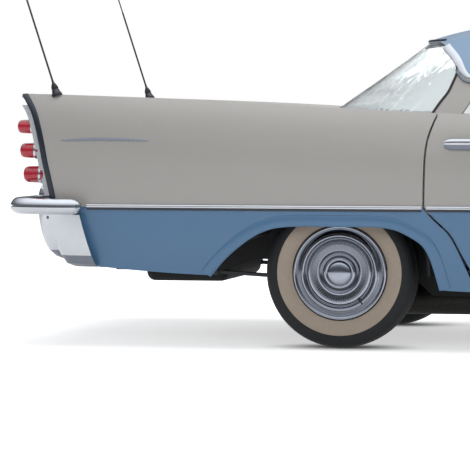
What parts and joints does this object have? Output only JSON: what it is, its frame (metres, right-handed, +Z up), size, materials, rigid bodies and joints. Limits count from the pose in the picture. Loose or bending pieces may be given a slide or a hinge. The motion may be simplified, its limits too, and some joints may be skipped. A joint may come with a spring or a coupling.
{
  "type": "classic hardtop car",
  "caption": "Late-1950s hardtop saloon car with tail fins, opening doors, bonnet and boot lid, steered front wheels and free-rolling wheels",
  "frame": {"origin": "on the ground, midway along the car's length, on its centre line", "axes": "+X towards the car's front, +Y towards its left side, +Z up"},
  "size_m": [5.5996, 2.008, 1.7306],
  "materials": {
    "body_paint": "gloss",
    "roof_paint": "gloss",
    "clear_glass": "clear",
    "frame_black": "satin",
    "floor_black": "satin",
    "cast_engine": "rough",
    "exhaust_steel": "dull",
    "chrome": "polished",
    "lamp_glass": "clear",
    "red_lens": "gloss",
    "seat_cloth": "woven",
    "dash_plastic": "satin",
    "tyre": "matt with a pale sidewall band"
  },
  "bodies": {
    "car": {"frame_rails": "frame_black", "cross_members": "frame_black", "cabin_floor": "floor_black", "tunnel": "floor_black", "firewall": "floor_black", "boot_floor": "floor_black", "rear_bulkhead": "floor_black", "rear_wheelhouses": "floor_black", "inner_fenders": "floor_black", "powertrain": "cast_engine", "rear_axle": "frame_black", "exhaust": "exhaust_steel", "fuel_tank": "frame_black", "radiator": "frame_black", "front_suspension": "frame_black", "rear_bumper": "chrome", "front_bumper": "chrome", "grille": "chrome", "headlamps": "lamp_glass", "tail_lamp_housings": "chrome", "tail_lamp_lenses": "red_lens", "aerials": "chrome", "sills": "body_paint", "fender_left": "body_paint", "fender_right": "body_paint", "quarter_left": "body_paint", "quarter_right": "body_paint", "roof": "roof_paint", "windscreen": "clear_glass", "rear_window": "clear_glass", "cowl_panel": "body_paint", "nose_panel": "body_paint", "rear_panels": "body_paint", "front_seat": "seat_cloth", "rear_seat": "seat_cloth", "dashboard": "dash_plastic"},
    "door_front_left": {"door_front_left": "body_paint"},
    "door_front_right": {"door_front_right": "body_paint"},
    "door_rear_left": {"door_rear_left": "body_paint"},
    "door_rear_right": {"door_rear_right": "body_paint"},
    "hood": {"hood": "body_paint"},
    "trunk_lid": {"trunk_lid": "body_paint"},
    "steering_wheel": {"steering_wheel": "dash_plastic"},
    "knuckle_left": {"knuckle_left": "frame_black"},
    "knuckle_right": {"knuckle_right": "frame_black"},
    "wheel_front_left": {"wheel_front_left": "chrome", "tyre_front_left": "tyre"},
    "wheel_front_right": {"wheel_front_right": "chrome", "tyre_front_right": "tyre"},
    "wheel_rear_left": {"wheel_rear_left": "chrome", "tyre_rear_left": "tyre"},
    "wheel_rear_right": {"wheel_rear_right": "chrome", "tyre_rear_right": "tyre"}
  },
  "joints": [
    {"name": "door_front_left_hinge", "type": "hinge", "parent": "car", "child": "door_front_left", "pos_m": [0.662, 0.965, 0.65], "axis": [0, 0, -1], "range_deg": [0, 65]},
    {"name": "door_front_right_hinge", "type": "hinge", "parent": "car", "child": "door_front_right", "pos_m": [0.662, -0.965, 0.65], "axis": [0, 0, 1], "range_deg": [0, 65]},
    {"name": "door_rear_left_hinge", "type": "hinge", "parent": "car", "child": "door_rear_left", "pos_m": [-0.1645, 0.965, 0.65], "axis": [0, 0, -1], "range_deg": [0, 65]},
    {"name": "door_rear_right_hinge", "type": "hinge", "parent": "car", "child": "door_rear_right", "pos_m": [-0.1645, -0.965, 0.65], "axis": [0, 0, 1], "range_deg": [0, 65]},
    {"name": "hood_hinge", "type": "hinge", "parent": "car", "child": "hood", "pos_m": [1.0355, 0, 1], "axis": [0, -1, 0], "range_deg": [0, 50]},
    {"name": "trunk_lid_hinge", "type": "hinge", "parent": "car", "child": "trunk_lid", "pos_m": [-1.6355, 0, 0.99], "axis": [0, 1, 0], "range_deg": [0, 70]},
    {"name": "steer_left", "type": "hinge", "parent": "car", "child": "knuckle_left", "pos_m": [1.878, 0.6, 0.328], "axis": [0, 0, 1], "range_deg": [-30, 30]},
    {"name": "steer_right", "type": "hinge", "parent": "car", "child": "knuckle_right", "pos_m": [1.878, -0.6, 0.328], "axis": [0, 0, 1], "range_deg": [-30, 30]},
    {"name": "steering_wheel_turn", "type": "hinge", "parent": "car", "child": "steering_wheel", "pos_m": [0.43, 0.36, 0.875], "axis": [-0.8707, 0, 0.4918], "range_deg": [-540, 540]},
    {"name": "spin_front_left", "type": "hinge", "parent": "knuckle_left", "child": "wheel_front_left", "pos_m": [1.878, 0.75, 0.328], "axis": [0, 1, 0], "continuous": true},
    {"name": "spin_front_right", "type": "hinge", "parent": "knuckle_right", "child": "wheel_front_right", "pos_m": [1.878, -0.75, 0.328], "axis": [0, 1, 0], "continuous": true},
    {"name": "spin_rear_left", "type": "hinge", "parent": "car", "child": "wheel_rear_left", "pos_m": [-1.322, 0.758, 0.328], "axis": [0, 1, 0], "continuous": true},
    {"name": "spin_rear_right", "type": "hinge", "parent": "car", "child": "wheel_rear_right", "pos_m": [-1.322, -0.758, 0.328], "axis": [0, 1, 0], "continuous": true}
  ],
  "couplings": [
    {"joint": "steer_right", "follows": "steer_left", "ratio": 1},
    {"joint": "steering_wheel_turn", "follows": "steer_left", "ratio": 18}
  ]
}
